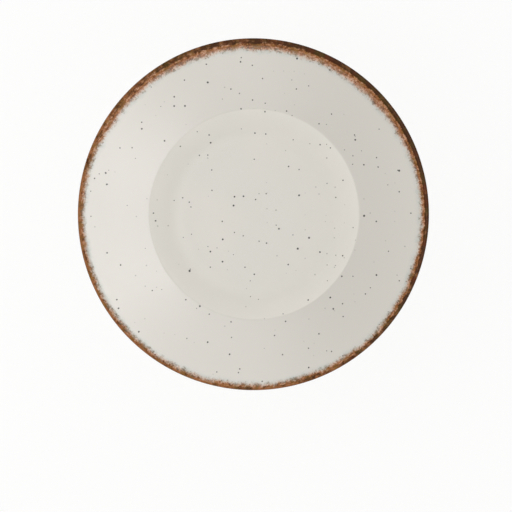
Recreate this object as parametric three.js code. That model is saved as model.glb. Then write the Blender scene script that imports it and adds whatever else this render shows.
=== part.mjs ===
// Pasta plate: a deep plate with a wide sloping rim, one piece of fired clay with glaze melted on to it.
// Millimetres, +Z up. The origin lies on the table, under the middle of the foot ring.
//
// The finished surface is drawn first, as one outline from the middle of the recess under the plate,
// out and round the lip, and back to the middle of the well. Each coat of glaze is a stretch of that
// outline, and the clay is what lies one glaze thickness below it. Only the foot ring stands bare.

import * as THREE from 'three';

// Foot ring
const footDiameter = 90; // outer edge at the table
const footRingWidth = 5.2; // across the ring at the table
const footHeight = 6.5; // table to the corner under the bowl
const footFlare = 5; // how much further out the ring's outer side stands at its root
const footEdgeRounding = 2;
const footRootRounding = 5;
const recessDepth = 9; // table to the ceiling of the hollow inside the ring
const recessFlare = 3.5; // how much further in the ring's inner side stands at the ceiling
const recessRounding = 3;

// Well
const floorThickness = 6.5;
const wellFlatDiameter = 64; // where the flat middle and the dished floor would meet with no rounding
const wellFlatRounding = 150;
const wellFloorDiameter = 133; // where the dished floor and the wall would meet with no rounding
const wellFloorRise = 4.5; // flat middle to that corner
const wellFloorRounding = 25;
const wellDepth = 23.5; // flat middle to crease
const wellEdgeDiameter = 170; // at the crease between the wall and the rim
const wellEdgeRounding = 4;
const wallThickness = 6; // below the crease
const bowlThickness = 5.2; // where the underside turns in towards the foot
const bowlBend = 1.8; // how far up the wall that turn lies
const bowlRounding = 90;

// Rim
const rimWidth = 55; // crease to outer edge, measured level
const rimRise = 21; // crease to the top of the lip
const rimDish = 1.2; // how far the middle of the rim sags below a straight slope
const rimDishRounding = 280;
const rimRootThickness = 5.4; // at the crease
const rimMiddleThickness = 8.5; // at the knee under the rim
const shoulderRounding = 9;
const kneeRounding = 50;
const lipThickness = 4.4; // across the rounded outer edge

// Glaze
const glazeThickness = 0.4;
const glazeLineHeight = 2.2; // the foot ring is bare below this
const bandWidth = 6; // brown band on the face, in from the outer edge

// Facets
const facetsAround = 48;
const lipFacetTurn = THREE.MathUtils.degToRad(25);
const facetTurn = THREE.MathUtils.degToRad(14);
const cornersPerFacet = 6; // two triangles

// Points and straights of a section, with x as the radius and y as the height
const at = (radius, height) => new THREE.Vector2(radius, height);
const direction = (from, to) => to.clone().sub(from).normalize();
const rightOf = (along) => at(along.y, -along.x); // the clay's side on the way out along the face

function pointAtHeight(low, high, height) {
  return low.clone().lerp(high, (height - low.y) / (high.y - low.y));
}

function pointAtRadius(inner, outer, radius) {
  return inner.clone().lerp(outer, (radius - inner.x) / (outer.x - inner.x));
}

// The corner under a bent sheet, from the thickness of the sheet on each side of the bend
function cornerBelow(corner, alongBefore, thicknessBefore, alongAfter, thicknessAfter) {
  const before = rightOf(alongBefore);
  const after = rightOf(alongAfter);
  const spread = before.cross(after);
  const out = (thicknessBefore * after.y - thicknessAfter * before.y) / spread;
  const up = (thicknessAfter * before.x - thicknessBefore * after.x) / spread;
  return corner.clone().add(at(out, up));
}

// Where a straight from a point touches a circle, on the side given by the sign of the swing
function tangentPoint(from, centre, radius, swingSign) {
  const towards = from.clone().sub(centre);
  const swing = swingSign * Math.acos(radius / towards.length());
  return towards.setLength(radius).rotateAround(at(0, 0), swing).add(centre);
}

// An arc about a centre, starting at a point and turning by an angle
function arc(start, centre, turn, steps) {
  return Array.from({ length: steps + 1 }, (_, step) =>
    start.clone().rotateAround(centre, (turn * step) / steps));
}

// An arc in place of a corner. It takes at most half of the straight on either side of the corner.
function roundedCorner(before, corner, after, rounding) {
  const back = before.clone().sub(corner);
  const ahead = after.clone().sub(corner);
  const turn = Math.PI - back.angleTo(ahead);
  const bend = Math.sign(ahead.cross(back));
  const reach = Math.min(rounding * Math.tan(turn / 2), back.length() / 2, ahead.length() / 2);
  const radius = reach / Math.tan(turn / 2);
  const start = corner.clone().add(back.setLength(reach));
  const centre = start.clone().addScaledVector(rightOf(back.normalize()), bend * radius);
  const steps = Math.max(2, Math.ceil(turn / facetTurn));
  return arc(start, centre, bend * turn, steps);
}

// A stretch of the lip's bullnose, from one point on it up to another
function lipArc(centre, from, to) {
  const turn = from.clone().sub(centre).angleTo(to.clone().sub(centre));
  return arc(from, centre, turn, Math.ceil(turn / lipFacetTurn));
}

// A run of corners as points. A corner is a point, or a point with the radius that rounds it.
function run(...corners) {
  return corners.flatMap(({ corner, rounding }, i) => {
    if (!rounding) {
      return [corner];
    }
    return roundedCorner(corners[i - 1].corner, corner, corners[i + 1].corner, rounding);
  });
}

const sharp = (corner) => ({ corner });
const soft = (corner, rounding) => ({ corner, rounding });

// Heights and radii that the pieces share
const floorHeight = recessDepth + floorThickness;
const creaseHeight = floorHeight + wellDepth;
const lipHeight = creaseHeight + rimRise;
const footRadius = footDiameter / 2;
const creaseRadius = wellEdgeDiameter / 2;
const outerRadius = creaseRadius + rimWidth;
const lipRadius = lipThickness / 2;

// Corners of the foot ring and its recess
const recessMiddle = at(0, recessDepth);
const recessCorner = at(footRadius - footRingWidth - recessFlare, recessDepth);
const footInnerEdge = at(footRadius - footRingWidth, 0);
const footOuterEdge = at(footRadius, 0);
const footRoot = at(footRadius + footFlare, footHeight);
const innerGlazeLine = pointAtHeight(footInnerEdge, recessCorner, glazeLineHeight);
const outerGlazeLine = pointAtHeight(footOuterEdge, footRoot, glazeLineHeight);

// Corners of the face
const wellMiddle = at(0, floorHeight);
const wellFlatEdge = at(wellFlatDiameter / 2, floorHeight);
const wellCorner = at(wellFloorDiameter / 2, floorHeight + wellFloorRise);
const crease = at(creaseRadius, creaseHeight);
const lipCentre = at(outerRadius - lipRadius, lipHeight - lipRadius);
const lipCrown = at(lipCentre.x, lipHeight);
const rimMiddle = crease.clone().lerp(lipCrown, 0.5).sub(at(0, rimDish));

// Corners of the underside, from the face and the thickness of the clay
const wallAlong = direction(wellCorner, crease);
const rimAlong = direction(crease, rimMiddle);
const rimSlope = direction(crease, lipCrown);
const bowlCorner = wellCorner.clone()
  .addScaledVector(wallAlong, bowlBend)
  .addScaledVector(rightOf(wallAlong), bowlThickness);
const shoulder = cornerBelow(crease, wallAlong, wallThickness, rimAlong, rimRootThickness);
const knee = rimMiddle.clone().addScaledVector(rightOf(rimSlope), rimMiddleThickness);

// The lip is a bullnose that the rim's underside and face run on to
const lipUnder = tangentPoint(knee, lipCentre, lipRadius, 1);
const lipOver = tangentPoint(rimMiddle, lipCentre, lipRadius, -1);
const lipEdge = at(outerRadius, lipCentre.y);
const bandEdge = pointAtRadius(rimMiddle, lipOver, outerRadius - bandWidth);

// Stretches of the finished outline, each starting where the one before it ends
const stretches = {
  foot_recess_glaze: run(
    sharp(recessMiddle),
    soft(recessCorner, recessRounding),
    sharp(innerGlazeLine)),
  bareFoot: run(
    sharp(innerGlazeLine),
    soft(footInnerEdge, footEdgeRounding),
    soft(footOuterEdge, footEdgeRounding),
    sharp(outerGlazeLine)),
  underside_glaze: run(
    sharp(outerGlazeLine),
    soft(footRoot, footRootRounding),
    soft(bowlCorner, bowlRounding),
    soft(shoulder, shoulderRounding),
    soft(knee, kneeRounding),
    sharp(lipUnder)),
  rim_band: [
    ...lipArc(lipCentre, lipUnder, lipEdge).slice(0, -1),
    ...lipArc(lipCentre, lipEdge, lipCrown).slice(0, -1),
    ...lipArc(lipCentre, lipCrown, lipOver),
    bandEdge,
  ],
  face_glaze: run(
    sharp(bandEdge),
    soft(rimMiddle, rimDishRounding),
    soft(crease, wellEdgeRounding),
    soft(wellCorner, wellFloorRounding),
    soft(wellFlatEdge, wellFlatRounding),
    sharp(wellMiddle)),
};

// The whole outline, with the place in it of each stretch's first and last point
const outline = [];
const span = {};
for (const [name, points] of Object.entries(stretches)) {
  const joined = outline.length > 0;
  const first = joined ? outline.length - 1 : 0;
  outline.push(...points.slice(joined ? 1 : 0));
  span[name] = { first, last: outline.length - 1 };
}

// The clay's surface under the glaze at one point of the outline, square to the straights that meet there
function underGlaze(surface, i) {
  if (surface.x === 0) {
    return surface.clone().add(at(0, i === 0 ? glazeThickness : -glazeThickness));
  }
  const before = rightOf(direction(outline[i - 1], surface));
  const after = rightOf(direction(surface, outline[i + 1]));
  const outward = before.clone().add(after).normalize();
  return surface.clone().addScaledVector(outward, -glazeThickness / outward.dot(before));
}

const clayOutline = outline.map(underGlaze);
const stretchOf = (points, name) => points.slice(span[name].first, span[name].last + 1);

// A closed section turned about the plate's axis. The clay and the coat on it meet facet for facet,
// so a coat splits its facets along the other diagonal, because it runs along the clay backwards.
function turned(section, isCoat) {
  const geometry = new THREE.LatheGeometry(section, facetsAround);
  if (isCoat) {
    const index = geometry.getIndex();
    for (let i = 0; i < index.count; i += cornersPerFacet) {
      const [a, b, d, c] = [0, 1, 2, 3].map((k) => index.getX(i + k));
      [a, b, c, a, c, d].forEach((vertex, k) => index.setX(i + k, vertex));
    }
  }
  return geometry.rotateX(Math.PI / 2);
}

function piece(name, geometry, color, roughness) {
  const mesh = new THREE.Mesh(geometry, new THREE.MeshStandardMaterial({ color, roughness, metalness: 0 }));
  mesh.name = name;
  return mesh;
}

// The clay: one glaze thickness below the outline, and up to the outline itself on the bare foot
function clayBody() {
  const section = [
    ...stretchOf(clayOutline, 'foot_recess_glaze'),
    ...stretchOf(outline, 'bareFoot'),
    ...clayOutline.slice(span.underside_glaze.first),
  ];
  return piece('clay_body', turned(section, false), '#e6e0d4', 0.8);
}

// A coat of glaze, from the clay out to the finished outline. Its section starts and ends on the axis
// where the coat reaches that far in, and closes on itself where the coat is a ring.
function coat(name, color, roughness) {
  const surface = stretchOf(outline, name);
  const clay = stretchOf(clayOutline, name).reverse();
  const startsOnAxis = surface[0].x === 0;
  const endsOnAxis = surface.at(-1).x === 0;
  const section = endsOnAxis ? [...clay, ...surface] : [...surface, ...clay];
  if (!startsOnAxis && !endsOnAxis) {
    section.push(surface[0]);
  }
  return piece(name, turned(section, true), color, roughness);
}

const plate = new THREE.Group();
plate.add(
  clayBody(),
  coat('face_glaze', '#dcd8cf', 0.2),
  coat('rim_band', '#7a5233', 0.25),
  coat('underside_glaze', '#e2ded5', 0.2),
  coat('foot_recess_glaze', '#e2ded5', 0.2),
);

export default plate;
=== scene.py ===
# %% [markdown]
# # A rustic pasta plate
#
# The real plate is one piece of fired clay. It has a flat well to eat from, a wall round the well, a wide
# rim that slopes up to a rounded lip, and a low foot ring underneath. Glaze covers all of it but the bottom
# of the foot: ivory inside and out, and brown along the lip, where the brown runs a little in the kiln.
#
# The CAD model already fixes where each coat begins and ends. It is loaded first, as a frame that stays as
# it is, and its box is kept, because the finished plate has to fit the same box.

# %% The frame
import cmath
import math

import bmesh
import bpy
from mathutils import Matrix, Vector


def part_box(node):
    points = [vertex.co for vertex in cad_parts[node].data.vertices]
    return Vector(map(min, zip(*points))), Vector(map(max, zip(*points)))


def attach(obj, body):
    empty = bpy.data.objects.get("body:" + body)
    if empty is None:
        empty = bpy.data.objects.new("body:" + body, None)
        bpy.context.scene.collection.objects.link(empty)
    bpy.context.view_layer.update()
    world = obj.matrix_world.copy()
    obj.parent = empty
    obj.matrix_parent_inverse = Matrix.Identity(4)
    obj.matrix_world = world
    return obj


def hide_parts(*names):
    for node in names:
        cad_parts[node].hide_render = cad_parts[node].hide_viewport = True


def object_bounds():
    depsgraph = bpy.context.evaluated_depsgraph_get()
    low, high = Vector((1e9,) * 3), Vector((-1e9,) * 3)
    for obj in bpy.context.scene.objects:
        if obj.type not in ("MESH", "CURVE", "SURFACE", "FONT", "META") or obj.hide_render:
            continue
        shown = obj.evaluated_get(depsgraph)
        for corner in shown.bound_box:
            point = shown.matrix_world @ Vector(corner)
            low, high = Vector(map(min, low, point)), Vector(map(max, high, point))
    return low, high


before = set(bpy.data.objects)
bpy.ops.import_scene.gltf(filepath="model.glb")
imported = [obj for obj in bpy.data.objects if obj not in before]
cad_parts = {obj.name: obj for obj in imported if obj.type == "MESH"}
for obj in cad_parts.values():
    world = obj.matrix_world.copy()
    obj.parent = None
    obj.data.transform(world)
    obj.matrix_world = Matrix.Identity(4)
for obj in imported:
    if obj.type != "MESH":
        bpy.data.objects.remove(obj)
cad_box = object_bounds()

MM = 0.001
for node_name in sorted(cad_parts):
    low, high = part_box(node_name)
    print(node_name, "spans", [round(side / MM, 1) for side in high - low], "mm")

# %% [markdown]
# ## The section of the plate
#
# A plate is turned, so its section is all the form there is. A Bezier curve drawn by hand could stand for
# it, but its points would be guesses. Here the section follows from real sizes: its straights meet in
# corners, and an arc rounds each corner. The sizes are those of the CAD model, in metres, so the fine
# surface runs through the corners of the CAD model's facets.

# %% Driving sizes
OUTER_RADIUS = cad_box[1].x
LIP_HEIGHT = cad_box[1].z

FOOT_RADIUS = 45 * MM
FOOT_RING_WIDTH = 5.2 * MM
FOOT_HEIGHT = 6.5 * MM
FOOT_FLARE = 5 * MM
FOOT_EDGE_ROUNDING = 2 * MM
FOOT_ROOT_ROUNDING = 5 * MM
RECESS_DEPTH = 9 * MM
RECESS_FLARE = 3.5 * MM
RECESS_ROUNDING = 3 * MM

WELL_FLAT_HEIGHT = 15.5 * MM
WELL_FLAT_RADIUS = 32 * MM
WELL_FLAT_ROUNDING = 150 * MM
WELL_FLOOR_RADIUS = 66.5 * MM
WELL_FLOOR_RISE = 4.5 * MM
WELL_FLOOR_ROUNDING = 25 * MM
CREASE_RADIUS = 85 * MM
CREASE_HEIGHT = 39 * MM
CREASE_ROUNDING = 4 * MM
WALL_THICKNESS = 6 * MM
BOWL_THICKNESS = 5.2 * MM
BOWL_BEND = 1.8 * MM
BOWL_ROUNDING = 90 * MM

RIM_DISH = 1.2 * MM
RIM_DISH_ROUNDING = 280 * MM
RIM_ROOT_THICKNESS = 5.4 * MM
RIM_MIDDLE_THICKNESS = 8.5 * MM
SHOULDER_ROUNDING = 9 * MM
KNEE_ROUNDING = 50 * MM
LIP_RADIUS = 2.2 * MM

COAT = 0.4 * MM
GLAZE_LINE_HEIGHT = 2.2 * MM
BAND_WIDTH = 6 * MM
print("outer diameter", round(2 * OUTER_RADIUS / MM, 2), "mm, height", round(LIP_HEIGHT / MM, 2), "mm")

# %% [markdown]
# A point of the section is a complex number: its real part is the radius and its imaginary part the height.
# That keeps the geometry short, because multiplying by a number of length one turns a point.

# %% Straights, corners and arcs of a section
ARC_STEP = math.radians(2.5)


def unit(step):
    return step / abs(step)


def under(along):
    """The side where the clay lies, a quarter turn clockwise from a way outwards along the face."""
    return -1j * along


def cross(first, second):
    return (first.conjugate() * second).imag


def point_at_height(low, high, height):
    return low + (high - low) * (height - low.imag) / (high.imag - low.imag)


def point_at_radius(inner, outer, radius):
    return inner + (outer - inner) * (radius - inner.real) / (outer.real - inner.real)


def corner_under(corner, along_before, thickness_before, along_after, thickness_after):
    """The corner under a bent sheet, from the sheet's thickness on each side of the bend."""
    before = under(along_before)
    after = under(along_after)
    out = thickness_before * after.imag - thickness_after * before.imag
    up = thickness_after * before.real - thickness_before * after.real
    return corner + complex(out, up) / cross(before, after)


def touching(start, centre, radius, side):
    """Where a straight from a point touches a circle, on the side given by a sign."""
    towards = start - centre
    swing = side * math.acos(radius / abs(towards))
    return centre + unit(towards) * cmath.rect(radius, swing)


def arc(start, centre, turn):
    steps = max(2, math.ceil(abs(turn) / ARC_STEP))
    return [centre + (start - centre) * cmath.rect(1, turn * step / steps) for step in range(steps + 1)]


def rounded(before, corner, after, rounding):
    """An arc in place of a corner, which takes at most half of the straight on either side."""
    back = before - corner
    ahead = after - corner
    turn = math.pi - abs(cmath.phase(ahead / back))
    bend = math.copysign(1, cross(ahead, back))
    reach = min(rounding * math.tan(turn / 2), abs(back) / 2, abs(ahead) / 2)
    start = corner + unit(back) * reach
    centre = start + under(unit(back)) * bend * reach / math.tan(turn / 2)
    return arc(start, centre, bend * turn)


def run(*corners):
    """A run of corners as points. Each corner comes with its rounding, and 0 leaves it sharp."""
    points = []
    for i, (corner, rounding) in enumerate(corners):
        if rounding:
            points += rounded(corners[i - 1][0], corner, corners[i + 1][0], rounding)
        else:
            points.append(corner)
    return points


# %% [markdown]
# The outline starts in the middle of the recess under the plate, runs out and round the lip, and ends in
# the middle of the well. Five stretches make it up: four carry glaze, and the bottom of the foot is bare.

# %% The outline in five stretches
recess_middle = complex(0, RECESS_DEPTH)
recess_corner = complex(FOOT_RADIUS - FOOT_RING_WIDTH - RECESS_FLARE, RECESS_DEPTH)
foot_inner_edge = complex(FOOT_RADIUS - FOOT_RING_WIDTH, 0)
foot_outer_edge = complex(FOOT_RADIUS, 0)
foot_root = complex(FOOT_RADIUS + FOOT_FLARE, FOOT_HEIGHT)
inner_glaze_line = point_at_height(foot_inner_edge, recess_corner, GLAZE_LINE_HEIGHT)
outer_glaze_line = point_at_height(foot_outer_edge, foot_root, GLAZE_LINE_HEIGHT)

well_middle = complex(0, WELL_FLAT_HEIGHT)
well_flat_edge = complex(WELL_FLAT_RADIUS, WELL_FLAT_HEIGHT)
well_corner = complex(WELL_FLOOR_RADIUS, WELL_FLAT_HEIGHT + WELL_FLOOR_RISE)
crease = complex(CREASE_RADIUS, CREASE_HEIGHT)
lip_centre = complex(OUTER_RADIUS - LIP_RADIUS, LIP_HEIGHT - LIP_RADIUS)
lip_edge = lip_centre + LIP_RADIUS
lip_crown = lip_centre + 1j * LIP_RADIUS
rim_middle = (crease + lip_crown) / 2 - 1j * RIM_DISH

wall_along = unit(crease - well_corner)
bowl_corner = well_corner + wall_along * BOWL_BEND + under(wall_along) * BOWL_THICKNESS
shoulder = corner_under(crease, wall_along, WALL_THICKNESS, unit(rim_middle - crease), RIM_ROOT_THICKNESS)
knee = rim_middle + under(unit(lip_crown - crease)) * RIM_MIDDLE_THICKNESS

lip_under = touching(knee, lip_centre, LIP_RADIUS, 1)
lip_over = touching(rim_middle, lip_centre, LIP_RADIUS, -1)
band_edge = point_at_radius(rim_middle, lip_over, OUTER_RADIUS - BAND_WIDTH)


def lip_arc(start, end):
    """A stretch of the lip's bullnose, without its last point."""
    return arc(start, lip_centre, cmath.phase((end - lip_centre) / (start - lip_centre)))[:-1]


stretches = {
    "recess": run(
        (recess_middle, 0),
        (recess_corner, RECESS_ROUNDING),
        (inner_glaze_line, 0)),
    "bare_foot": run(
        (inner_glaze_line, 0),
        (foot_inner_edge, FOOT_EDGE_ROUNDING),
        (foot_outer_edge, FOOT_EDGE_ROUNDING),
        (outer_glaze_line, 0)),
    "underside": run(
        (outer_glaze_line, 0),
        (foot_root, FOOT_ROOT_ROUNDING),
        (bowl_corner, BOWL_ROUNDING),
        (shoulder, SHOULDER_ROUNDING),
        (knee, KNEE_ROUNDING),
        (lip_under, 0)),
    "band": [
        *lip_arc(lip_under, lip_edge),
        *lip_arc(lip_edge, lip_crown),
        *lip_arc(lip_crown, lip_over),
        lip_over,
        band_edge],
    "face": run(
        (band_edge, 0),
        (rim_middle, RIM_DISH_ROUNDING),
        (crease, CREASE_ROUNDING),
        (well_corner, WELL_FLOOR_ROUNDING),
        (well_flat_edge, WELL_FLAT_ROUNDING),
        (well_middle, 0)),
}

outline = [recess_middle]
first_point = {}
for stretch, points in stretches.items():
    first_point[stretch] = len(outline) - 1
    outline += points[1:]
    print(stretch, "has", len(points), "points")

# %% [markdown]
# The clay lies one coat of glaze inside the outline. At each point the outline is moved square to the two
# straights that meet there, so the coat keeps one thickness round every arc.

# %% The clay under the glaze


def clay_below(i):
    point = outline[i]
    if i == 0:
        return point + 1j * COAT
    if i == len(outline) - 1:
        return point - 1j * COAT
    before = under(unit(point - outline[i - 1]))
    after = under(unit(outline[i + 1] - point))
    outward = unit(before + after)
    return point - outward * COAT / (outward * before.conjugate()).real


clay_line = [clay_below(i) for i in range(len(outline))]


def part_of(line, stretch):
    start = first_point[stretch]
    return line[start:start + len(stretches[stretch])]


def coat_section(stretch):
    """The closed section of a coat, and the place in it of the first point that shows.

    A section that reaches the axis starts and ends there, and a ring's section closes on itself.
    """
    glaze = part_of(outline, stretch)
    back = part_of(clay_line, stretch)[::-1]
    if glaze[-1].real == 0:
        return [*back, *glaze], len(back)
    if glaze[0].real == 0:
        return [*glaze, *back], 0
    return [*glaze, *back, glaze[0]], 0


def clay_section():
    """The clay, which comes up to the outline itself on the bare foot."""
    recess = part_of(clay_line, "recess")
    bare = part_of(outline, "bare_foot")
    return [*recess, *bare, *clay_line[first_point["underside"]:]], len(recess)


print("the clay's section has", len(clay_section()[0]), "points")

# %% [markdown]
# ## Nodes from Python
#
# The lathe below is a Geometry Nodes tree and every finish is a shader tree. Adding their nodes one by one
# takes many lines that say little. So one small class wraps an output socket: arithmetic on it adds Math
# nodes, and its `node` method adds any other kind, with its settings first and then what feeds it.

# %% Wires between nodes


def socket_of(sockets, key):
    """A socket by number or by name, among those in use: some nodes keep spare ones of other kinds."""
    in_use = [socket for socket in sockets if not socket.is_unavailable]
    if isinstance(key, int):
        return in_use[key]
    return next(socket for socket in in_use if socket.name == key)


class Wire:
    """One output of a node. A wire without an output starts a tree."""

    def __init__(self, tree, output=None):
        self.tree = tree
        self.output = output

    def node(self, kind, settings=None, sockets=None, output=0):
        made = self.tree.nodes.new(kind)
        for name, value in (settings or {}).items():
            setattr(made, name, value)
        for key, value in (sockets or {}).items():
            socket = socket_of(made.inputs, key)
            if isinstance(value, Wire):
                self.tree.links.new(value.output, socket)
            elif socket.type == "RGBA":
                socket.default_value = (*value, 1)
            else:
                socket.default_value = value
        return Wire(self.tree, socket_of(made.outputs, output) if made.outputs else None)

    def also(self, output):
        """Another output of the same node."""
        return Wire(self.tree, socket_of(self.output.node.outputs, output))

    def maths(self, operation, *parts):
        return self.node("ShaderNodeMath", {"operation": operation}, dict(enumerate(parts)))

    def __add__(self, other):
        return self.maths("ADD", self, other)

    def __sub__(self, other):
        return self.maths("SUBTRACT", self, other)

    def __rsub__(self, other):
        return self.maths("SUBTRACT", other, self)

    def __mul__(self, other):
        return self.maths("MULTIPLY", self, other)

    def __truediv__(self, other):
        return self.maths("DIVIDE", self, other)

    def __rtruediv__(self, other):
        return self.maths("DIVIDE", other, self)

    def __lt__(self, other):
        return self.maths("LESS_THAN", self, other)

    def __gt__(self, other):
        return self.maths("GREATER_THAN", self, other)

    __radd__ = __add__
    __rmul__ = __mul__


print("a sum of wires adds a Math node: 1 - mask and 2 * mask work as well as mask - 1")

# %% [markdown]
# ## The lathe
#
# Every piece of this plate is turned, and a lathe is a rule: take the section's points, and set each of
# them round the axis. Blender's Screw modifier does that too. A Geometry Nodes tree is used instead because
# it can also lay out a map that a finish can be baked through. A grid has one column for each facet and one
# row for each point of the section; each of its points then moves to its place on the plate.
#
# On most pieces the map is a plan view, with the side that shows as large as the map holds, and the side
# against the clay small in a corner. The band is long and narrow, so its map is cut into strips.

# %% The lathe's tree
BAKE_MAP = "OFBake"
SHARP_ANGLE = math.radians(40)
WELD = 0.001 * MM
HIDDEN_CENTRE, HIDDEN_SIZE = 0.065, 0.05
SHOWN_CENTRE, SHOWN_SIZE = 0.5, 0.49
STRIPS, STRIP_SHOWN, STRIP_HIDDEN = 8, 0.9, 0.08
LATHE_INPUTS = {
    "Section": "NodeSocketGeometry",
    "Facets": "NodeSocketInt",
    "First Shown": "NodeSocketInt",
    "Last Shown": "NodeSocketInt",
    "Map Radius": "NodeSocketFloat",
    "Material": "NodeSocketMaterial",
}


def on_faces(field):
    return field.node("GeometryNodeFieldOnDomain", {"domain": "FACE"}, {"Value": field})


def plan_map(place, row, first, last, map_radius):
    """A plan view: what shows fills the map, and what doesn't is small in a corner."""
    face_row = on_faces(row)
    shown = (first < face_row) * (face_row < last)
    scale = HIDDEN_SIZE / OUTER_RADIUS + shown * (SHOWN_SIZE / map_radius - HIDDEN_SIZE / OUTER_RADIUS)
    centre = HIDDEN_CENTRE + shown * (SHOWN_CENTRE - HIDDEN_CENTRE)
    return centre + place * scale, centre + place.also("Y") * scale


def strip_map(column, facets, row, last, rows):
    """The ring cut into strips, one above the other, each with what shows below what doesn't."""
    strip_length = facets / STRIPS
    strip = row.maths("FLOOR", on_faces(column) / strip_length)
    shown = row.maths("MINIMUM", row / last, 1)
    hidden = row.maths("MAXIMUM", (row - last) / (rows - 1 - last), 0)
    up = shown * STRIP_SHOWN + hidden * STRIP_HIDDEN
    return column / strip_length - strip, (strip + up) / STRIPS


def lathe_tree(name, in_strips):
    tree = bpy.data.node_groups.new(name, "GeometryNodeTree")
    for socket, kind in LATHE_INPUTS.items():
        tree.interface.new_socket(socket, in_out="INPUT", socket_type=kind)
    tree.interface.new_socket("Turned", in_out="OUTPUT", socket_type="NodeSocketGeometry")
    section = Wire(tree).node("NodeGroupInput", output="Section")
    facets = section.also("Facets")
    first = section.also("First Shown")
    last = section.also("Last Shown")
    rows = section.node(
        "GeometryNodeAttributeDomainSize",
        sockets={"Geometry": section},
        output="Point Count")
    sheet = section.node("GeometryNodeMeshGrid", sockets={
        "Size X": facets,
        "Size Y": rows - 1,
        "Vertices X": facets + 1,
        "Vertices Y": rows})
    position = section.node("GeometryNodeInputPosition")
    on_sheet = section.node("ShaderNodeSeparateXYZ", sockets={"Vector": position})
    column = section.maths("ROUND", on_sheet + facets / 2)
    row = section.maths("ROUND", on_sheet.also("Y") + (rows - 1) / 2)
    sample = section.node("GeometryNodeSampleIndex", {"data_type": "FLOAT_VECTOR"}, {
        "Geometry": section,
        "Value": position,
        "Index": row})
    radius = section.node("ShaderNodeSeparateXYZ", sockets={"Vector": sample})
    angle = column * math.tau / facets
    turned = section.node("ShaderNodeCombineXYZ", sockets={
        "X": radius * section.maths("COSINE", angle),
        "Y": radius * section.maths("SINE", angle),
        "Z": radius.also("Z")})
    if in_strips:
        across, up = strip_map(column, facets, row, last, rows)
    else:
        place = section.node("ShaderNodeSeparateXYZ", sockets={"Vector": turned})
        across, up = plan_map(place, row, first, last, section.also("Map Radius"))
    mapped = section.node("GeometryNodeStoreNamedAttribute", {"data_type": "FLOAT2", "domain": "CORNER"}, {
        "Geometry": sheet,
        "Name": BAKE_MAP,
        "Value": section.node("ShaderNodeCombineXYZ", sockets={"X": across, "Y": up})})
    placed = section.node("GeometryNodeSetPosition", sockets={"Geometry": mapped, "Position": turned})
    closed = section.node("GeometryNodeMergeByDistance", sockets={"Geometry": placed, "Distance": WELD})
    smooth = section.node("GeometryNodeSetShadeSmooth", {"domain": "FACE"}, {
        "Geometry": closed,
        "Shade Smooth": True})
    bend = section.node("GeometryNodeInputMeshEdgeAngle", output="Unsigned Angle")
    creased = section.node("GeometryNodeSetShadeSmooth", {"domain": "EDGE"}, {
        "Geometry": smooth,
        "Selection": SHARP_ANGLE < bend,
        "Shade Smooth": False})
    real = section.node("GeometryNodeRealizeInstances", sockets={"Geometry": creased})
    finished = section.node("GeometryNodeSetMaterial", sockets={
        "Geometry": real,
        "Material": section.also("Material")})
    section.node("NodeGroupOutput", sockets={"Turned": finished})
    return tree


plan_lathe = lathe_tree("lathe_with_plan_map", in_strips=False)
strip_lathe = lathe_tree("lathe_with_strip_map", in_strips=True)
print("the lathe has", len(plan_lathe.nodes), "nodes, or", len(strip_lathe.nodes), "with strips")

# %% [markdown]
# A piece starts as a line: its section, drawn once beside the axis. The lathe is added to it as a modifier,
# its inputs are set, and what it makes is kept as a plain mesh, so that nothing is left to work out later.
# A closed solid has no open edge, so those are counted, and the volume is measured.

# %% Turning one piece
FACETS = 256
CUBIC_CM = (10 * MM) ** 3


def turned_piece(name, section, first_shown, shown_count, material, lathe=plan_lathe):
    """Turn a closed section into a plain mesh object, and say how large it came out."""
    last_shown = first_shown + shown_count - 1
    map_radius = max(point.real for point in section[first_shown:last_shown + 1])
    line = bpy.data.meshes.new(name)
    line.from_pydata(
        [(point.real, 0, point.imag) for point in section],
        [(i, i + 1) for i in range(len(section) - 1)],
        [])
    piece = bpy.data.objects.new(name, line)
    bpy.context.scene.collection.objects.link(piece)
    modifier = piece.modifiers.new("lathe", "NODES")
    modifier.node_group = lathe
    values = {
        "Facets": FACETS,
        "First Shown": first_shown,
        "Last Shown": last_shown,
        "Map Radius": map_radius,
        "Material": material,
    }
    for item in lathe.interface.items_tree:
        if item.in_out == "INPUT" and item.name in values:
            modifier[item.identifier] = values[item.name]
    graph = bpy.context.evaluated_depsgraph_get()
    solid = bpy.data.meshes.new_from_object(
        piece.evaluated_get(graph), preserve_all_data_layers=True, depsgraph=graph)
    piece.modifiers.remove(modifier)
    piece.data = solid
    bpy.data.meshes.remove(line)
    solid.name = name
    check = bmesh.new()
    check.from_mesh(solid)
    open_edges = sum(not edge.is_manifold for edge in check.edges)
    volume = check.calc_volume(signed=True) / CUBIC_CM
    check.free()
    print(name, "has", len(solid.polygons), "faces,", open_edges, "open edges and", round(volume, 2), "cm3")
    return piece


def fit(piece, node):
    """The piece rides with the plate's one body, and the CAD node it stands for is hidden."""
    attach(piece, "root")
    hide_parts(node)


print("every piece has", FACETS, "facets round the axis")

# %% [markdown]
# ## What the finishes share
#
# Patterns are made from noise in real millimetres on Object coordinates, so nothing stretches and nothing
# needs an image. A value that rises smoothly between two limits turns noise into edges and patches. A named
# pair of limits says where the rise starts and where it is full. Colours are written as they look on a
# screen, and turned into the linear light that shaders reckon in.

# %% Colours, noise and rises
OUTER_MM = OUTER_RADIUS / MM
NOISE_MIDDLE = 0.5


def seen(red, green, blue):
    """A colour as a screen shows it, from 0 to 255, as linear light."""
    return tuple(((part / 255 + 0.055) / 1.055) ** 2.4 for part in (red, green, blue))


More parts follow.
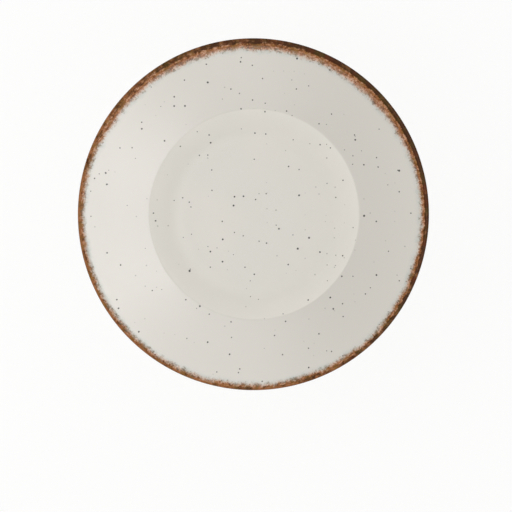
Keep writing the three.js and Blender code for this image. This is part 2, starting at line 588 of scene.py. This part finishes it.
def new_finish(name):
    """A material with an empty tree, and Object coordinates in millimetres to start from."""
    material = bpy.data.materials.new(name)
    material.use_nodes = True
    material.node_tree.nodes.clear()
    place = Wire(material.node_tree).node("ShaderNodeTexCoord", output="Object")
    scaled = place.node("ShaderNodeVectorMath", {"operation": "SCALE"}, {"Vector": place, "Scale": 1 / MM})
    return material, scaled


def noise(place, size, detail=2.0, roughness=0.5, seed=0.0):
    """Noise about 0.5, with lumps of a size in millimetres."""
    return place.node("ShaderNodeTexNoise", {"noise_dimensions": "4D"}, {
        "Vector": place,
        "W": seed,
        "Scale": 1 / size,
        "Detail": detail,
        "Roughness": roughness})


def rise(value, start, end):
    """0 before start, 1 after end, and smooth between them. With end before start it falls."""
    return value.node("ShaderNodeMapRange", {"interpolation_type": "SMOOTHSTEP"}, {
        "Value": value,
        "From Min": start,
        "From Max": end})


def mixed(share, first, second):
    """The first colour where the share is 0 and the second where it is 1."""
    return share.node("ShaderNodeMix", {"data_type": "RGBA"}, {"Factor": share, "A": first, "B": second})


def radius_of(place):
    """How far from the axis a spot lies."""
    level = place.node("ShaderNodeVectorMath", {"operation": "MULTIPLY"}, {0: place, 1: (1, 1, 0)})
    return level.node("ShaderNodeVectorMath", {"operation": "LENGTH"}, {0: level})


def height_of(place):
    """How far above the table a spot lies."""
    return place.node("ShaderNodeSeparateXYZ", sockets={"Vector": place}).also("Z")


def noise_by_radius(place, lumps_per_mm):
    """Noise about 0.5 that changes only with the radius, so it makes rings."""
    return place.node("ShaderNodeTexNoise", {"noise_dimensions": "1D"}, {
        "W": radius_of(place),
        "Scale": lumps_per_mm,
        "Detail": 2.0})


def surface(material, colour, roughness, height, relief, index_of_refraction=1.5):
    """Finish a material. height is the surface's unevenness from 0 to 1, and relief its depth in metres."""
    bump = colour.node("ShaderNodeBump", sockets={"Strength": 1.0, "Distance": relief, "Height": height})
    shader = colour.node("ShaderNodeBsdfPrincipled", sockets={
        "Base Color": colour,
        "Roughness": roughness,
        "IOR": index_of_refraction,
        "Normal": bump})
    colour.node("ShaderNodeOutputMaterial", sockets={"Surface": shader})
    return material


print("white is", seen(255, 255, 255), "and mid grey", [round(part, 3) for part in seen(128, 128, 128)])

# %% [markdown]
# ## The clay
#
# Stoneware fires to a pale, dry biscuit. Only the bottom of the foot shows it. It is matt, with sandy
# grains and a few darker ones, and the ring is ground smooth where it stands, so faint scratches run round
# it. A noise of one number, the radius, makes rings without drawing any.

# %% Bare clay
CLAY_PALE = seen(231, 225, 213)
CLAY_DEEP = seen(220, 212, 197)
CLAY_GRAIN = seen(176, 158, 134)
CLAY_PATCH_SIZE, CLAY_PATCH_EDGES = 9, (0.3, 0.7)
SAND_SIZE, SAND_EDGES, SAND_SHARE = 0.45, (0.45, 0.75), 0.35
DARK_GRAIN_SIZE, DARK_GRAIN_EDGES, DARK_GRAIN_SHARE = 0.8, (0.68, 0.74), 0.7
SCRATCHES_PER_MM = 2.4
CLAY_ROUGHNESS, SAND_ROUGHNESS = 0.72, 0.25
SAND_HEIGHT, SCRATCH_HEIGHT = 0.7, 0.5
CLAY_RELIEF = 0.06 * MM


def bare_clay():
    material, place = new_finish("bare_clay")
    patches = noise(place, CLAY_PATCH_SIZE, detail=3)
    sand = noise(place, SAND_SIZE, detail=3, roughness=0.6, seed=3)
    dark_grains = noise(place, DARK_GRAIN_SIZE, detail=1, seed=7)
    scratches = noise_by_radius(place, SCRATCHES_PER_MM)
    colour = mixed(rise(patches, *CLAY_PATCH_EDGES), CLAY_PALE, CLAY_DEEP)
    colour = mixed(rise(sand, *SAND_EDGES) * SAND_SHARE, colour, CLAY_DEEP)
    colour = mixed(rise(dark_grains, *DARK_GRAIN_EDGES) * DARK_GRAIN_SHARE, colour, CLAY_GRAIN)
    roughness = CLAY_ROUGHNESS + sand * SAND_ROUGHNESS
    unevenness = sand * SAND_HEIGHT + scratches * SCRATCH_HEIGHT
    return surface(material, colour, roughness, unevenness, CLAY_RELIEF)


clay = turned_piece("fired_clay", *clay_section(), len(stretches["bare_foot"]), bare_clay())
fit(clay, "clay_body")

# %% [markdown]
# ## The ivory glaze
#
# Ivory glaze is a white one warmed by a little iron. It isn't one colour: it pools and thins in wide soft
# clouds, and the sandy clay shows through it in faint grains. Its skin is glassy, with the slight waviness
# that melted glaze keeps. One function gives the colour and the skin, and each ivory coat starts from it.

# %% Ivory glaze
IVORY_WARM = seen(221, 217, 209)
IVORY_COOL = seen(219, 216, 208)
IVORY_GRAIN = seen(196, 188, 172)
CLOUD_SIZE, CLOUD_EDGES = 48, (0.35, 0.65)
GRAIN_SIZE, GRAIN_EDGES, GRAIN_SHARE = 0.8, (0.58, 0.78), 0.22
WAVE_SIZE = 7
GLAZE_ROUGHNESS, CLOUD_ROUGHNESS = 0.26, 0.1
GRAIN_HEIGHT = 0.12
GLAZE_RELIEF = 0.05 * MM


def ivory(place):
    """The colour, roughness and unevenness of ivory glaze."""
    clouds = noise(place, CLOUD_SIZE)
    grains = noise(place, GRAIN_SIZE, seed=5)
    waves = noise(place, WAVE_SIZE, seed=11)
    colour = mixed(rise(clouds, *CLOUD_EDGES), IVORY_WARM, IVORY_COOL)
    colour = mixed(rise(grains, *GRAIN_EDGES) * GRAIN_SHARE, colour, IVORY_GRAIN)
    roughness = GLAZE_ROUGHNESS + clouds * CLOUD_ROUGHNESS
    return colour, roughness, waves + grains * GRAIN_HEIGHT


print("ivory glaze has clouds", CLOUD_SIZE, "mm wide and waves", WAVE_SIZE, "mm wide")

# %% [markdown]
# ## The underside
#
# Nobody sees much of the underside, and its glaze is plainer: no specks, but faint wide rings, because the
# tool that cut the bowl and the foot left the clay uneven from turn to turn. It is also painted paler than
# the face: painted light, which makes up for the shade the underside sits in. At the line where the glaze
# was wiped off the foot it thins out and the warm clay shows through. The island of glaze inside the foot
# ring has the same finish.

# %% Underside glaze
# painted light: the underside's ivory is set paler than the face's, to make up for the shade it sits in
UNDERSIDE_IVORY_PAINTED_LIGHT = seen(241, 238, 230)
THIN_GLAZE = seen(224, 215, 199)
TURNING_PITCH = 9.0
RING_EDGES, RING_SHARE, RING_HEIGHT = (0.45, 0.75), 0.2, 1.5
PAINTED_LIGHT_SHARE, THIN_SHARE = 0.8, 0.8
THIN_ROUGHNESS = 0.25
WIPE_WANDER, WIPE_WANDER_SIZE = 0.8, 3
WIPE_THICK, WIPE_THIN = 0.7, -0.4


def underside_glaze(name):
    material, place = new_finish(name)
    colour, roughness, unevenness = ivory(place)
    rings = noise_by_radius(place, 1 / TURNING_PITCH)
    above_line = height_of(place) - noise(place, WIPE_WANDER_SIZE, seed=2) * WIPE_WANDER
    glaze_line = GLAZE_LINE_HEIGHT / MM
    thin = rise(above_line, glaze_line + WIPE_THICK, glaze_line + WIPE_THIN)
    # painted light: most of the colour is the paler ivory, a little less of it in the rings
    colour = mixed(PAINTED_LIGHT_SHARE - rise(rings, *RING_EDGES) * RING_SHARE, colour, UNDERSIDE_IVORY_PAINTED_LIGHT)
    colour = mixed(thin * THIN_SHARE, colour, THIN_GLAZE)
    roughness = roughness + thin * THIN_ROUGHNESS
    return surface(material, colour, roughness, unevenness + rings * RING_HEIGHT, GLAZE_RELIEF)


def turned_coat(name, stretch, material, **lathe):
    section, first_shown = coat_section(stretch)
    return turned_piece(name, section, first_shown, len(stretches[stretch]), material, **lathe)


underside = turned_coat("underside_coat", "underside", underside_glaze("ivory_underside"))
fit(underside, "underside_glaze")
recess = turned_coat("recess_coat", "recess", underside_glaze("ivory_recess"))
fit(recess, "foot_recess_glaze")

# %% [markdown]
# ## The brown band
#
# An iron glaze is brushed along the lip. The stain is wider at the back and a little to the right, and its
# umber is thickest towards the upper right. The edge of the stain is ragged: long waves where the hand rose
# and fell, and short tongues where the glaze ran.
#
# The edge could be cut into the mesh, but a stain has no thickness of its own. So it is painted by depth:
# how far in from the outer edge a spot lies. The noise that moves the edge is laid on a circle round the
# rim, with the depth as its third direction, so its strokes can be drawn out along the rim or across it.

# %% The stain's edge
# widths and lengths are in millimetres
STAIN_WIDTH, STAIN_MORE_RIGHT = 5.7, 0.6
STAIN_MORE_BEHIND, STAIN_LESS_IN_FRONT = 3.1, 0.8
WAVE_LENGTH, WAVE_REACH = 16, 4.0
TONGUE_LENGTH, TONGUE_REACH = 3.2, 5.0
# how far back on the rim, from -1 in front to 1 behind, a change of width starts and is full
BEHIND, IN_FRONT = (0.1, 0.8), (-0.1, -0.7)


def outward_from_axis(place):
    """The level way out from the axis, as a vector of length one."""
    level = place.node("ShaderNodeVectorMath", {"operation": "MULTIPLY"}, {0: place, 1: (1, 1, 0)})
    return level.node("ShaderNodeVectorMath", {"operation": "NORMALIZE"}, {0: level})


def noise_round_rim(outward, depth):
    """Gives a function that makes noise about 0 round the rim."""

    def rim_noise(size, stretch=1.0, **options):
        """Lumps of a size in millimetres along the rim, drawn out across it by a stretch."""
        across = outward.node("ShaderNodeCombineXYZ", sockets={"Z": depth * (1 / stretch)})
        spot = outward.node("ShaderNodeVectorMath", {"operation": "MULTIPLY_ADD"}, {
            0: outward,
            1: (OUTER_MM,) * 3,
            2: across})
        return noise(spot, size, **options) - NOISE_MIDDLE

    return rim_noise


def stain_edge(rim_noise, right, back):
    """How deep the stain reaches in from the outer edge."""
    more = rise(back, *BEHIND) * STAIN_MORE_BEHIND
    less = rise(back, *IN_FRONT) * STAIN_LESS_IN_FRONT
    width = STAIN_WIDTH + more - less + right * STAIN_MORE_RIGHT
    waves = rim_noise(WAVE_LENGTH, stretch=8, detail=1, seed=1) * WAVE_REACH
    tongues = rim_noise(TONGUE_LENGTH, stretch=1.1, detail=3, roughness=0.65, seed=2) * TONGUE_REACH
    return width + waves + tongues


width_in_front = round(STAIN_WIDTH - STAIN_LESS_IN_FRONT, 1)
width_behind = round(STAIN_WIDTH + STAIN_MORE_BEHIND, 1)
print("the stain is about", width_in_front, "mm wide in front and", width_behind, "mm behind")

# %% [markdown]
# Where iron glaze is thin it fires to rust, and breaks into short strokes of tan, gold and a deeper brown.
# Where it is thick, round the outer edge, it fires to a dark umber with red and olive in it. The umber is
# thickest towards the upper right and is whole under the lip, where the glaze hangs. Each kind of patch is
# noise of its own, so the kinds lie across each other as they do in a glaze that has run.

# %% Patches round the rim
# length along the rim in millimetres, stretch across it, the noise where a patch starts and is full, seed
RIM_PATCHES = {
    "olive_rust": (7, 2, 0.0, 0.12, 13),
    "gold": (2.2, 0.8, 0.1, 0.2, 6),
    "olive_umber": (7, 3, -0.05, 0.16, 7),
    "red_umber": (9, 3, 0.0, 0.16, 8),
    "haze": (9, 3, -0.12, 0.2, 10),
    "smudge": (3.6, 0.7, 0.03, 0.12, 12),
}


def rim_patches(rim_noise, kind, **options):
    """1 inside the patches of one kind, and 0 outside them."""
    length, stretch, start, full, seed = RIM_PATCHES[kind]
    return rise(rim_noise(length, stretch=stretch, seed=seed, **options), start, full)


print("patches round the rim:", ", ".join(RIM_PATCHES))

# %% Rust
# reaches and depths are in millimetres
RUST = seen(146, 94, 56)
RUST_DEEP = seen(96, 57, 28)
RUST_OLIVE = seen(118, 84, 34)
TAN = seen(190, 147, 118)
GOLD = seen(172, 126, 64)
STREAK_REACH, TAN_TO_RUST = 6.0, (-0.6, 1.8)
PALE_STREAK, PALE_DEPTH = (-0.02, -0.14), (0.8, 4.0)
DEEP_STREAK = (0.02, 0.12)
PALE_STROKES, DEEP_STROKES, OLIVE_STROKES, GOLD_STROKES = 0.85, 0.9, 0.6, 0.5


def rust_strokes(rim_noise, depth, thickness, streak):
    """Rust that thins to tan, with deep, olive and golden strokes in it."""
    colour = mixed(rise(thickness + streak * STREAK_REACH, *TAN_TO_RUST), TAN, RUST)
    pale = rise(streak, *PALE_STREAK) * rise(depth, *PALE_DEPTH)
    colour = mixed(pale * PALE_STROKES, colour, TAN)
    colour = mixed(rise(streak, *DEEP_STREAK) * DEEP_STROKES, colour, RUST_DEEP)
    colour = mixed(rim_patches(rim_noise, "olive_rust") * OLIVE_STROKES, colour, RUST_OLIVE)
    return mixed(rim_patches(rim_noise, "gold") * GOLD_STROKES, colour, GOLD)


print("rust is", [round(part, 3) for part in RUST], "in linear light")

# %% Umber
# widths, lengths, reaches and depths are in millimetres
UMBER = seen(62, 33, 8)
UMBER_RED = seen(82, 38, 12)
UMBER_OLIVE = seen(68, 48, 9)
RUSTY_GRAIN, RUSTY_DEPTH, RUSTY_SHARE = (0.08, 0.3), (-0.5, 1.0), 0.3
# the umber is thickest towards this side, between the right and the back
UMBER_SIDE = math.radians(35)
BRUSH_LENGTH, BRUSH_UNEVENNESS, BRUSHED = 5, 2.0, (0.0, 0.9)
HANGING_DEPTH = (0.6, 0.0)
THICK_WIDTH, THICK_MORE_BEHIND = 3.5, 0.7
THICK_WANDER, THICK_WANDER_LENGTH = 1.6, 10
THICK_STREAK_REACH, THICK_EDGE = 3.0, (-0.5, 0.5)


def thick_umber(rim_noise, depth, grain):
    """Umber with olive and red patches, and grains of rust above the outer edge."""
    colour = mixed(rim_patches(rim_noise, "olive_umber"), UMBER, UMBER_OLIVE)
    colour = mixed(rim_patches(rim_noise, "red_umber"), colour, UMBER_RED)
    rusty = rise(grain, *RUSTY_GRAIN) * rise(depth, *RUSTY_DEPTH)
    return mixed(rusty * RUSTY_SHARE, colour, RUST)


def umber_cover(rim_noise, depth, right, back, streak):
    """How far the umber hides the rust."""
    toward_umber_side = 0.5 + right * (0.5 * math.cos(UMBER_SIDE)) + back * (0.5 * math.sin(UMBER_SIDE))
    uneven = rim_noise(BRUSH_LENGTH, stretch=1.5, seed=3) * BRUSH_UNEVENNESS
    brushed = rise(toward_umber_side + uneven + streak, *BRUSHED)
    share = depth.maths("MAXIMUM", brushed, rise(depth, *HANGING_DEPTH))
    wander = rim_noise(THICK_WANDER_LENGTH, stretch=4, seed=11) * THICK_WANDER
    thick_edge = THICK_WIDTH + back * THICK_MORE_BEHIND + wander
    return rise(thick_edge - depth + streak * THICK_STREAK_REACH, *THICK_EDGE) * share


print("umber reaches about", THICK_WIDTH, "mm in from the outer edge")

# %% [markdown]
# Both lie over a ground colour. Along the inner edge sit dark smudges, and a cool grey-green haze shows
# where a trace of iron has melted into the ivory. Under the lip the stain ends in a soft line. One function
# colours both the band's own coat and the face beside it, so no seam shows between them.

# %% Haze and smudges
# reaches, depths and the stain's thickness are in millimetres
HAZE = seen(184, 187, 180)
HAZE_REACH, HAZE_DEPTH = (-4.5, -0.5), (0.0, 1.0)
HAZE_LEAST, HAZE_MORE = 0.3, 0.6
SMUDGE = seen(104, 92, 70)
SMUDGE_START, SMUDGE_END, SMUDGE_SHARE = (-2.4, -0.4), (3.0, 0.8), 0.65


def hazy(rim_noise, depth, edge, ground):
    """The ground colour, with a haze along the stain's edge."""
    near = rise(edge - depth, *HAZE_REACH) * rise(depth, *HAZE_DEPTH)
    share = HAZE_LEAST + rim_patches(rim_noise, "haze") * HAZE_MORE
    return mixed(near * share, ground, HAZE)


def smudged(rim_noise, thickness, colour):
    """A colour, with dark smudges where the stain runs out."""
    smudges = rim_patches(rim_noise, "smudge", detail=3, roughness=0.6)
    at_edge = rise(thickness, *SMUDGE_START) * rise(thickness, *SMUDGE_END)
    return mixed(smudges * at_edge * SMUDGE_SHARE, colour, SMUDGE)


print("the haze reaches", -HAZE_REACH[0], "mm in from the stain's edge, towards the well")

# %% Iron glaze by depth
# lengths and depths are in millimetres
STREAK_LENGTH, STREAK_GRAIN = 3.4, 0.45
IRON_GRAIN_SIZE, IRON_GRAIN_REACH = 1.1, 4.0
STAIN_SOFTNESS = (-2.0, 2.0)
UNDER_LIP, UNDER_LIP_SOFTNESS = -1.0, (-0.35, 0.45)
UNDER_LIP_WANDER, UNDER_LIP_LENGTH = 1.4, 4
IRON_ROUGHNESS = 0.08


def iron_glaze(place, depth, ground):
    """Lay the stain over a ground colour. Gives the colour, how much covers each spot, and its grain."""
    outward = outward_from_axis(place)
    right = outward.node("ShaderNodeSeparateXYZ", sockets={"Vector": outward})
    back = right.also("Y")
    rim_noise = noise_round_rim(outward, depth)
    grain = rim_noise(IRON_GRAIN_SIZE, stretch=1.2, roughness=0.7, seed=4)
    strokes = rim_noise(STREAK_LENGTH, stretch=0.45, detail=3, roughness=0.6, seed=5)
    streak = strokes + grain * STREAK_GRAIN
    edge = stain_edge(rim_noise, right, back)
    thickness = edge - depth + grain * IRON_GRAIN_REACH
    rust = rust_strokes(rim_noise, depth, thickness, streak)
    umber = thick_umber(rim_noise, depth, grain)
    stain = mixed(umber_cover(rim_noise, depth, right, back, streak), rust, umber)
    under_line = UNDER_LIP + rim_noise(UNDER_LIP_LENGTH, stretch=4, seed=9) * UNDER_LIP_WANDER
    cover = rise(thickness, *STAIN_SOFTNESS) * rise(depth - under_line, *UNDER_LIP_SOFTNESS)
    colour = mixed(cover, hazy(rim_noise, depth, edge, ground), stain)
    return smudged(rim_noise, thickness, colour), cover, grain + NOISE_MIDDLE


print("the stain ends about", -UNDER_LIP, "mm below the outer edge")

# %% [markdown]
# On the band's own coat the depth runs on over the lip: in from the outer edge above the middle of the
# bullnose, and down from it below. The iron glaze is thick, and duller than glass.

# %% The band's coat
BAND_RELIEF = 0.12 * MM
BAND_WAVES, BAND_GRAIN = 0.4, 0.6
BAND_INDEX = 1.18
LEVEL_MARGIN = 0.001


def band_glaze():
    material, place = new_finish("brown_band")
    height_above = height_of(place) - lip_edge.imag / MM
    down = place.maths("MINIMUM", height_above, 0)
    above = -LEVEL_MARGIN < height_above
    depth = down + (OUTER_MM - radius_of(place)) * above
    ground, roughness, unevenness = ivory(place)
    colour, cover, grain = iron_glaze(place, depth, ground)
    roughness = roughness + cover * IRON_ROUGHNESS
    skin = unevenness * BAND_WAVES + grain * cover * BAND_GRAIN
    return surface(material, colour, roughness, skin, BAND_RELIEF, index_of_refraction=BAND_INDEX)


band = turned_coat("band_coat", "band", band_glaze(), lathe=strip_lathe)
fit(band, "rim_band")

# %% [markdown]
# ## The face and its specks
#
# The specks are grains of iron in the clay that melt through the glaze. They are stains too, so they are
# painted. A Voronoi texture drops one chance point in every cell of a net. A second chance number decides
# whether that cell has a speck, and a third how large it is. Wide soft noise thins some places out, so the
# specks gather loosely, as chance grains do.

# %% Specks
SPECK_DARK = seen(44, 39, 35)
# net width, share of cells with a speck, smallest and largest radius in millimetres, and strength
SPECK_SIZES = {
    "bold": (9.0, 0.17, 0.55, 0.9, 0.95),
    "small": (7.0, 0.07, 0.38, 0.6, 0.85),
    "faint": (8.0, 0.1, 0.35, 0.65, 0.35),
}
SPECK_RAGGEDNESS, RAGS_PER_MM = 0.5, 1.4
SPECK_CLEAR, SPECK_FULL = 0.14, -0.2
GATHERING_SIZE, GATHERING_EDGES = 22, (0.25, 0.75)
# gathering leaves out about half of the specks, and the share makes up for that
GATHERED_SHARE = 0.5
NET_SHIFT_RIGHT, NET_SHIFT_BACK = 37.0, 91.0


def ragged(place):
    """A place moved a little by noise, so that what is round there comes out ragged."""
    push = place.node(
        "ShaderNodeTexNoise",
        sockets={"Vector": place, "Scale": RAGS_PER_MM, "Detail": 2.0},
        output="Color")
    return place.node("ShaderNodeVectorMath", {"operation": "MULTIPLY_ADD"}, {
        0: push,
        1: (SPECK_RAGGEDNESS, SPECK_RAGGEDNESS, 0),
        2: place})


def specks(place, net, share, smallest, largest, strength, seed):
    """How dark each spot is with one size of speck."""
    shifted = place.node("ShaderNodeVectorMath", {"operation": "ADD"}, {
        0: ragged(place),
        1: (seed * NET_SHIFT_RIGHT, seed * NET_SHIFT_BACK, 0)})
    cell = place.node("ShaderNodeTexVoronoi", {"voronoi_dimensions": "2D"}, {
        "Vector": shifted,
        "Scale": 1 / net})
    chance = place.node("ShaderNodeSeparateColor", sockets={"Color": cell.also("Color")})
    gathered = noise(cell.also("Position"), GATHERING_SIZE, detail=1)
    has_speck = chance < share / GATHERED_SHARE * rise(gathered, *GATHERING_EDGES)
    size = chance.also("Green")
    radius = smallest + size * size * (largest - smallest)
    distance = cell * net
    return rise(distance - radius, SPECK_CLEAR, SPECK_FULL) * has_speck * strength


for speck_name, speck_sizes in SPECK_SIZES.items():
    speck_count = math.pi * OUTER_MM ** 2 * speck_sizes[1] / speck_sizes[0] ** 2
    print(speck_name, "specks: about", round(speck_count))

# %% [markdown]
# The face is one coat. From the crease outwards it is painted a shade darker, which is painted shade on the
# rim, and it is glossier there. The stain's inner edge reaches on to it, and the specks are painted where
# the stain leaves it clear.

# %% The face
# painted shade: the rim's ivory is set darker than the well's, for the tone the rim shows under the light
RIM_IVORY_PAINTED_SHADE = seen(204, 200, 192)
CREASE_BLEND = 0.8
WELL_DULLNESS = 0.25
FACE_IRON_GRAIN = 0.8


def speckled_face():
    material, place = new_finish("speckled_ivory")
    radius = radius_of(place)
    crease_mm = CREASE_RADIUS / MM
    on_rim = rise(radius, crease_mm - CREASE_BLEND, crease_mm + CREASE_BLEND)
    ground, roughness, unevenness = ivory(place)
    # painted shade: from the crease outwards the ground colour turns to the darker rim ivory
    ground = mixed(on_rim, ground, RIM_IVORY_PAINTED_SHADE)
    colour, cover, grain = iron_glaze(place, OUTER_MM - radius, ground)
    for seed, sizes in enumerate(SPECK_SIZES.values(), start=1):
        dark = specks(place, *sizes, seed=seed) * (1 - cover)
        colour = mixed(dark, colour, SPECK_DARK)
    roughness = roughness + (1 - on_rim) * WELL_DULLNESS + cover * IRON_ROUGHNESS
    skin = unevenness + grain * cover * FACE_IRON_GRAIN
    return surface(material, colour, roughness, skin, GLAZE_RELIEF)


face = turned_coat("face_coat", "face", speckled_face())
fit(face, "face_glaze")

# %% [markdown]
# ## The studio
#
# A plain pale floor in a white surround. The surround sheds more light from its sides than from above, at a
# level where the ivory renders about as it is written, and it is shown as white to the camera and in
# reflections. So is most of the floor, which keeps a little of the plate's shadow. A photographer would
# light a white sweep from behind for the same look.

# %% Floor and surround
TOP_LIGHT = 0.64
SIDE_LIGHT = 1.02
SIDES_END, SIDES_FULL = 0.8, 0.2
FLOOR_SIZE = 6.0
FLOOR_COLOUR = seen(246, 245, 243)
FLOOR_SHOWN_WHITE = 0.85
WHITE = (1, 1, 1)


def seen_directly(start):
    """1 where the camera, a reflection or clear glass looks at a surface, and 0 for light that it sheds."""
    path = start.node("ShaderNodeLightPath", output="Is Camera Ray")
    direct = path.maths("MAXIMUM", path, path.also("Is Glossy Ray"))
    return path.maths("MAXIMUM", direct, path.also("Is Transmission Ray"))


def pale_floor():
    material, place = new_finish("pale_floor")
    matt = place.node("ShaderNodeBsdfDiffuse", sockets={"Color": FLOOR_COLOUR})
    white = place.node("ShaderNodeEmission", sockets={"Color": WHITE, "Strength": 1.0})
    share = seen_directly(place) * FLOOR_SHOWN_WHITE
    shader = place.node("ShaderNodeMixShader", sockets={"Fac": share, 1: matt, 2: white})
    place.node("ShaderNodeOutputMaterial", sockets={"Surface": shader})
    return material


def floor_plane():
    half = FLOOR_SIZE / 2
    mesh = bpy.data.meshes.new("floor")
    corners = [(-half, -half, 0), (half, -half, 0), (half, half, 0), (-half, half, 0)]
    mesh.from_pydata(corners, [], [(0, 1, 2, 3)])
    mesh.materials.append(pale_floor())
    plane = bpy.data.objects.new("floor", mesh)
    bpy.context.scene.collection.objects.link(plane)


def white_surround():
    world = bpy.data.worlds.new("surround")
    world.use_nodes = True
    world.node_tree.nodes.clear()
    start = Wire(world.node_tree)
    way = start.node("ShaderNodeTexCoord", output="Generated")
    rising = start.node("ShaderNodeSeparateXYZ", sockets={"Vector": way}).also("Z")
    shed = TOP_LIGHT + SIDE_LIGHT * rise(rising, SIDES_END, SIDES_FULL)
    direct = seen_directly(start)
    strength = direct + (1 - direct) * shed
    background = start.node("ShaderNodeBackground", sockets={"Color": WHITE, "Strength": strength})
    start.node("ShaderNodeOutputWorld", sockets={"Surface": background})
    bpy.context.scene.world = world


floor_plane()
white_surround()
print("the surround sheds", TOP_LIGHT, "of white, and", SIDE_LIGHT, "more from its sides")

# %% [markdown]
# One soft light stands at the left and gives the well its form. Three white cards stand round the right. A
# card could be a bright plane, but an area light can be kept from lighting the matt part of a surface, so
# only the gloss mirrors it. The cards give the left of the rim its soft glow.

# %% Soft light and white cards
LIGHT_PLACE = (-0.5, -0.05, 0.42)
LIGHT_SIZE = (0.35, 0.35)
LIGHT_STRENGTH = 1.0
CARD_DISTANCE = 1.09
CARD_TILT = math.radians(27.3)
CARD_SIZE = (0.9, 0.5)
CARD_STRENGTHS = {"right_card": 4.3, "far_card": 2.25, "near_card": 1.9}
CARD_TURNS = {"right_card": 0, "far_card": math.radians(70), "near_card": math.radians(-70)}


def panel(name, place, size, strength):
    """A rectangular light that faces the middle of the plate, as bright as white times its strength."""
    lamp = bpy.data.lights.new(name, "AREA")
    lamp.shape = "RECTANGLE"
    lamp.size, lamp.size_y = size
    lamp.energy = strength * math.pi * lamp.size * lamp.size_y
    light = bpy.data.objects.new(name, lamp)
    light.location = place
    light.rotation_euler = (-light.location).to_track_quat("-Z", "Y").to_euler()
    light.visible_camera = False
    bpy.context.scene.collection.objects.link(light)
    return light


def white_card(name):
    out = CARD_DISTANCE * math.sin(CARD_TILT)
    up = CARD_DISTANCE * math.cos(CARD_TILT)
    turn = CARD_TURNS[name]
    place = (out * math.cos(turn), out * math.sin(turn), up)
    card = panel(name, place, CARD_SIZE, CARD_STRENGTHS[name])
    card.visible_diffuse = False


left_light = panel("left_light", LIGHT_PLACE, LIGHT_SIZE, LIGHT_STRENGTH)
for card_name in CARD_TURNS:
    white_card(card_name)
print("the light stands", round(left_light.location.length, 2), "m from the plate")

# %% [markdown]
# ## The camera
#
# The plate is seen from straight above, with the eye a little to its right: the well's edge then sits a
# shade to the right of the lip's circle. The lens is long, so that the rim isn't drawn much larger than the
# well. The frame is shifted to leave room below the plate, because turning the camera would tilt the view.

# %% Camera
IMAGE_SIZE = 512
PLATE_PIXELS = 352.0
PLATE_CENTRE_PIXEL = (252.0, 214.2)
EYE_DISTANCE = 1.2
EYE_LEAN = math.radians(4)
SENSOR = 36.0


def top_camera():
    camera = bpy.data.cameras.new("camera")
    camera.sensor_width = SENSOR
    view_width = 2 * OUTER_RADIUS * IMAGE_SIZE / PLATE_PIXELS
    camera.lens = SENSOR * EYE_DISTANCE / view_width
    camera.shift_x = (IMAGE_SIZE / 2 - PLATE_CENTRE_PIXEL[0]) / IMAGE_SIZE
    camera.shift_y = (PLATE_CENTRE_PIXEL[1] - IMAGE_SIZE / 2) / IMAGE_SIZE
    eye = bpy.data.objects.new("camera", camera)
    eye.rotation_euler = (0, EYE_LEAN, 0)
    eye.location = (
        EYE_DISTANCE * math.sin(EYE_LEAN),
        0,
        lip_edge.imag + EYE_DISTANCE * math.cos(EYE_LEAN))
    bpy.context.scene.collection.objects.link(eye)
    bpy.context.scene.camera = eye
    return camera


lens = top_camera().lens
bpy.context.scene.view_settings.view_transform = "Standard"
print("the lens is", round(lens, 1), "mm long")

# %% [markdown]
#
# The finished plate has to fit the CAD model's box, which is written out.

# %% Sizes and finish
print("CAD box", [round(side / MM, 2) for side in cad_box[1] - cad_box[0]], "mm")
